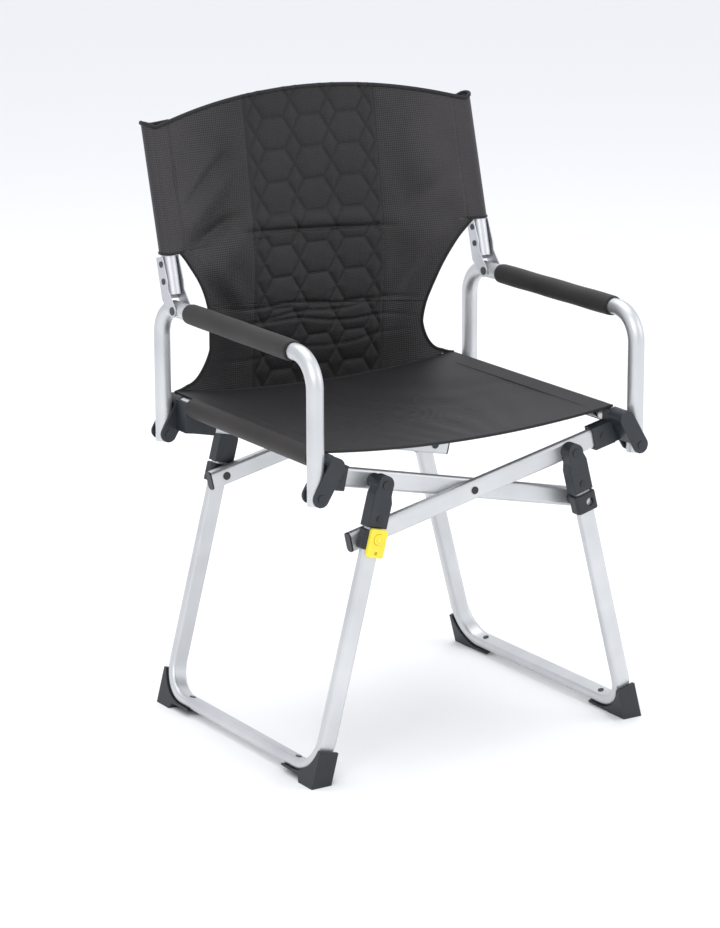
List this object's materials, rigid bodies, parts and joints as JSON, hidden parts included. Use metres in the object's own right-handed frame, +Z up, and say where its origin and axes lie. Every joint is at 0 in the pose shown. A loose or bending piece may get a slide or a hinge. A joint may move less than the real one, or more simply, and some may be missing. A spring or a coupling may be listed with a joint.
{
  "type": "folding director chair",
  "caption": "Folding camp chair with U-shaped aluminium leg frames, a scissor of oval bars, padded arms, a fold-down backrest and hung cloth seat and back.",
  "frame": {"origin": "on the floor, at the middle of the bottom of the chair's box", "axes": "+X to the right of someone facing the chair, +Y to its back, +Z up; the chair stands open with its back raised"},
  "size_m": [0.57, 0.4811, 0.9],
  "materials": {
    "leg_tube": "satin anodised",
    "bar_tube": "satin anodised",
    "seat_rail_tube": "satin anodised",
    "arm_tube": "satin anodised",
    "back_tube": "satin anodised",
    "back_channel": "satin",
    "foot_plastic": "fine moulded grain",
    "bracket_plastic": "fine moulded grain",
    "collar_plastic": "fine moulded grain",
    "corner_plastic": "fine moulded grain",
    "plug_plastic": "fine moulded grain",
    "cap_plastic": "fine moulded grain",
    "lock_yellow": "smooth moulded",
    "button_yellow": "smooth moulded",
    "spring_steel": "drawn wire",
    "rivet_dark": "satin black",
    "pivot_dark": "satin black",
    "cross_dark": "satin black",
    "arm_cloth": "ribbed weave over foam",
    "seat_cloth": "coated polyester weave",
    "back_cloth": "coated polyester weave"
  },
  "bodies": {
    "left_leg": {"left_leg_frame": "leg_tube", "left_front_foot": "foot_plastic", "left_rear_foot": "foot_plastic", "left_front_leg_bracket": "bracket_plastic", "left_rear_leg_bracket": "bracket_plastic", "left_foot_rivets": "rivet_dark", "left_leg_bracket_rivets": "rivet_dark"},
    "right_leg": {"right_leg_frame": "leg_tube", "right_front_foot": "foot_plastic", "right_rear_foot": "foot_plastic", "right_front_leg_bracket": "bracket_plastic", "right_rear_leg_bracket": "bracket_plastic", "right_foot_rivets": "rivet_dark", "right_leg_bracket_rivets": "rivet_dark"},
    "left_frame": {"left_front_bar": "bar_tube", "left_rear_bar": "bar_tube", "left_bar_plugs": "plug_plastic", "left_front_corner": "corner_plastic", "left_rear_corner": "corner_plastic", "left_seat_rail": "seat_rail_tube", "left_leg_pivot_rivets": "pivot_dark", "left_collar_pivot_rivets": "pivot_dark", "left_corner_rivets": "rivet_dark", "left_arm_pivot_rivets": "pivot_dark", "cross_rivets": "cross_dark", "seat_sheet": "seat_cloth"},
    "right_frame": {"right_front_bar": "bar_tube", "right_rear_bar": "bar_tube", "right_bar_plugs": "plug_plastic", "right_front_corner": "corner_plastic", "right_rear_corner": "corner_plastic", "right_seat_rail": "seat_rail_tube", "right_leg_pivot_rivets": "pivot_dark", "right_collar_pivot_rivets": "pivot_dark", "right_corner_rivets": "rivet_dark", "right_arm_pivot_rivets": "pivot_dark"},
    "left_collars": {"left_front_collar": "collar_plastic", "left_rear_collar": "collar_plastic", "lock_cover": "lock_yellow", "lock_spring": "spring_steel"},
    "right_collars": {"right_front_collar": "collar_plastic", "right_rear_collar": "collar_plastic"},
    "lock_button": {"lock_button": "button_yellow"},
    "left_arm": {"left_arm_tube": "arm_tube", "left_arm_pad": "arm_cloth", "left_back_hinge_bolt": "pivot_dark"},
    "right_arm": {"right_arm_tube": "arm_tube", "right_arm_pad": "arm_cloth", "right_back_hinge_bolt": "pivot_dark"},
    "left_upright": {"left_back_channel": "back_channel", "left_back_channel_rivets": "rivet_dark", "left_back_tube": "back_tube", "left_back_cap": "cap_plastic", "back_sheet": "back_cloth"},
    "right_upright": {"right_back_channel": "back_channel", "right_back_channel_rivets": "rivet_dark", "right_back_tube": "back_tube", "right_back_cap": "cap_plastic"}
  },
  "joints": [
    {"name": "left_leg_pivot", "type": "hinge", "parent": "left_leg", "child": "left_frame", "pos_m": [-0.1604, -0.01, 0.41756], "axis": [0, 1, 0], "range_deg": [0, 81.49]},
    {"name": "fold", "type": "hinge", "parent": "left_frame", "child": "right_frame", "pos_m": [0, -0.01, 0.382], "axis": [0, -1, 0], "range_deg": [0, 135], "deforming": ["seat_sheet", "back_sheet"]},
    {"name": "right_leg_pivot", "type": "hinge", "parent": "right_frame", "child": "right_leg", "pos_m": [0.1604, -0.01, 0.41756], "axis": [0, 1, 0], "range_deg": [0, 81.49]},
    {"name": "left_arm_pivot", "type": "hinge", "parent": "left_frame", "child": "left_arm", "pos_m": [-0.27, -0.01, 0.416], "axis": [0, -1, 0], "range_deg": [0, 67.5]},
    {"name": "right_arm_pivot", "type": "hinge", "parent": "right_frame", "child": "right_arm", "pos_m": [0.27, -0.01, 0.416], "axis": [0, 1, 0], "range_deg": [0, 67.5]},
    {"name": "left_collar_slide", "type": "slide", "parent": "left_leg", "child": "left_collars", "axis": [-0.2516, 0, -0.9678], "range_m": [0, 0.26544]},
    {"name": "right_collar_slide", "type": "slide", "parent": "right_leg", "child": "right_collars", "axis": [0.2516, 0, -0.9678], "range_m": [0, 0.26544]},
    {"name": "back_fold", "type": "hinge", "parent": "left_arm", "child": "left_upright", "pos_m": [-0.27, 0.146, 0.608], "axis": [1, 0, 0], "range_deg": [0, 78]},
    {"name": "right_back_fold", "type": "hinge", "parent": "right_arm", "child": "right_upright", "pos_m": [0.27, 0.146, 0.608], "axis": [1, 0, 0], "range_deg": [0, 78]},
    {"name": "lock_press", "type": "slide", "parent": "left_collars", "child": "lock_button", "axis": [0, 1, 0], "range_m": [0, 0.002], "stiffness_N_per_m": 300, "deforming": ["lock_spring"]}
  ],
  "couplings": [
    {"joint": "left_leg_pivot", "follows": "fold", "ratio": 0.60365},
    {"joint": "right_leg_pivot", "follows": "fold", "ratio": 0.60365},
    {"joint": "left_arm_pivot", "follows": "fold", "ratio": 0.5},
    {"joint": "right_arm_pivot", "follows": "fold", "ratio": 0.5},
    {"joint": "left_collar_slide", "follows": "fold", "m_per_rad": 0.11266},
    {"joint": "right_collar_slide", "follows": "fold", "m_per_rad": 0.11266},
    {"joint": "right_back_fold", "follows": "back_fold", "ratio": 1}
  ]
}
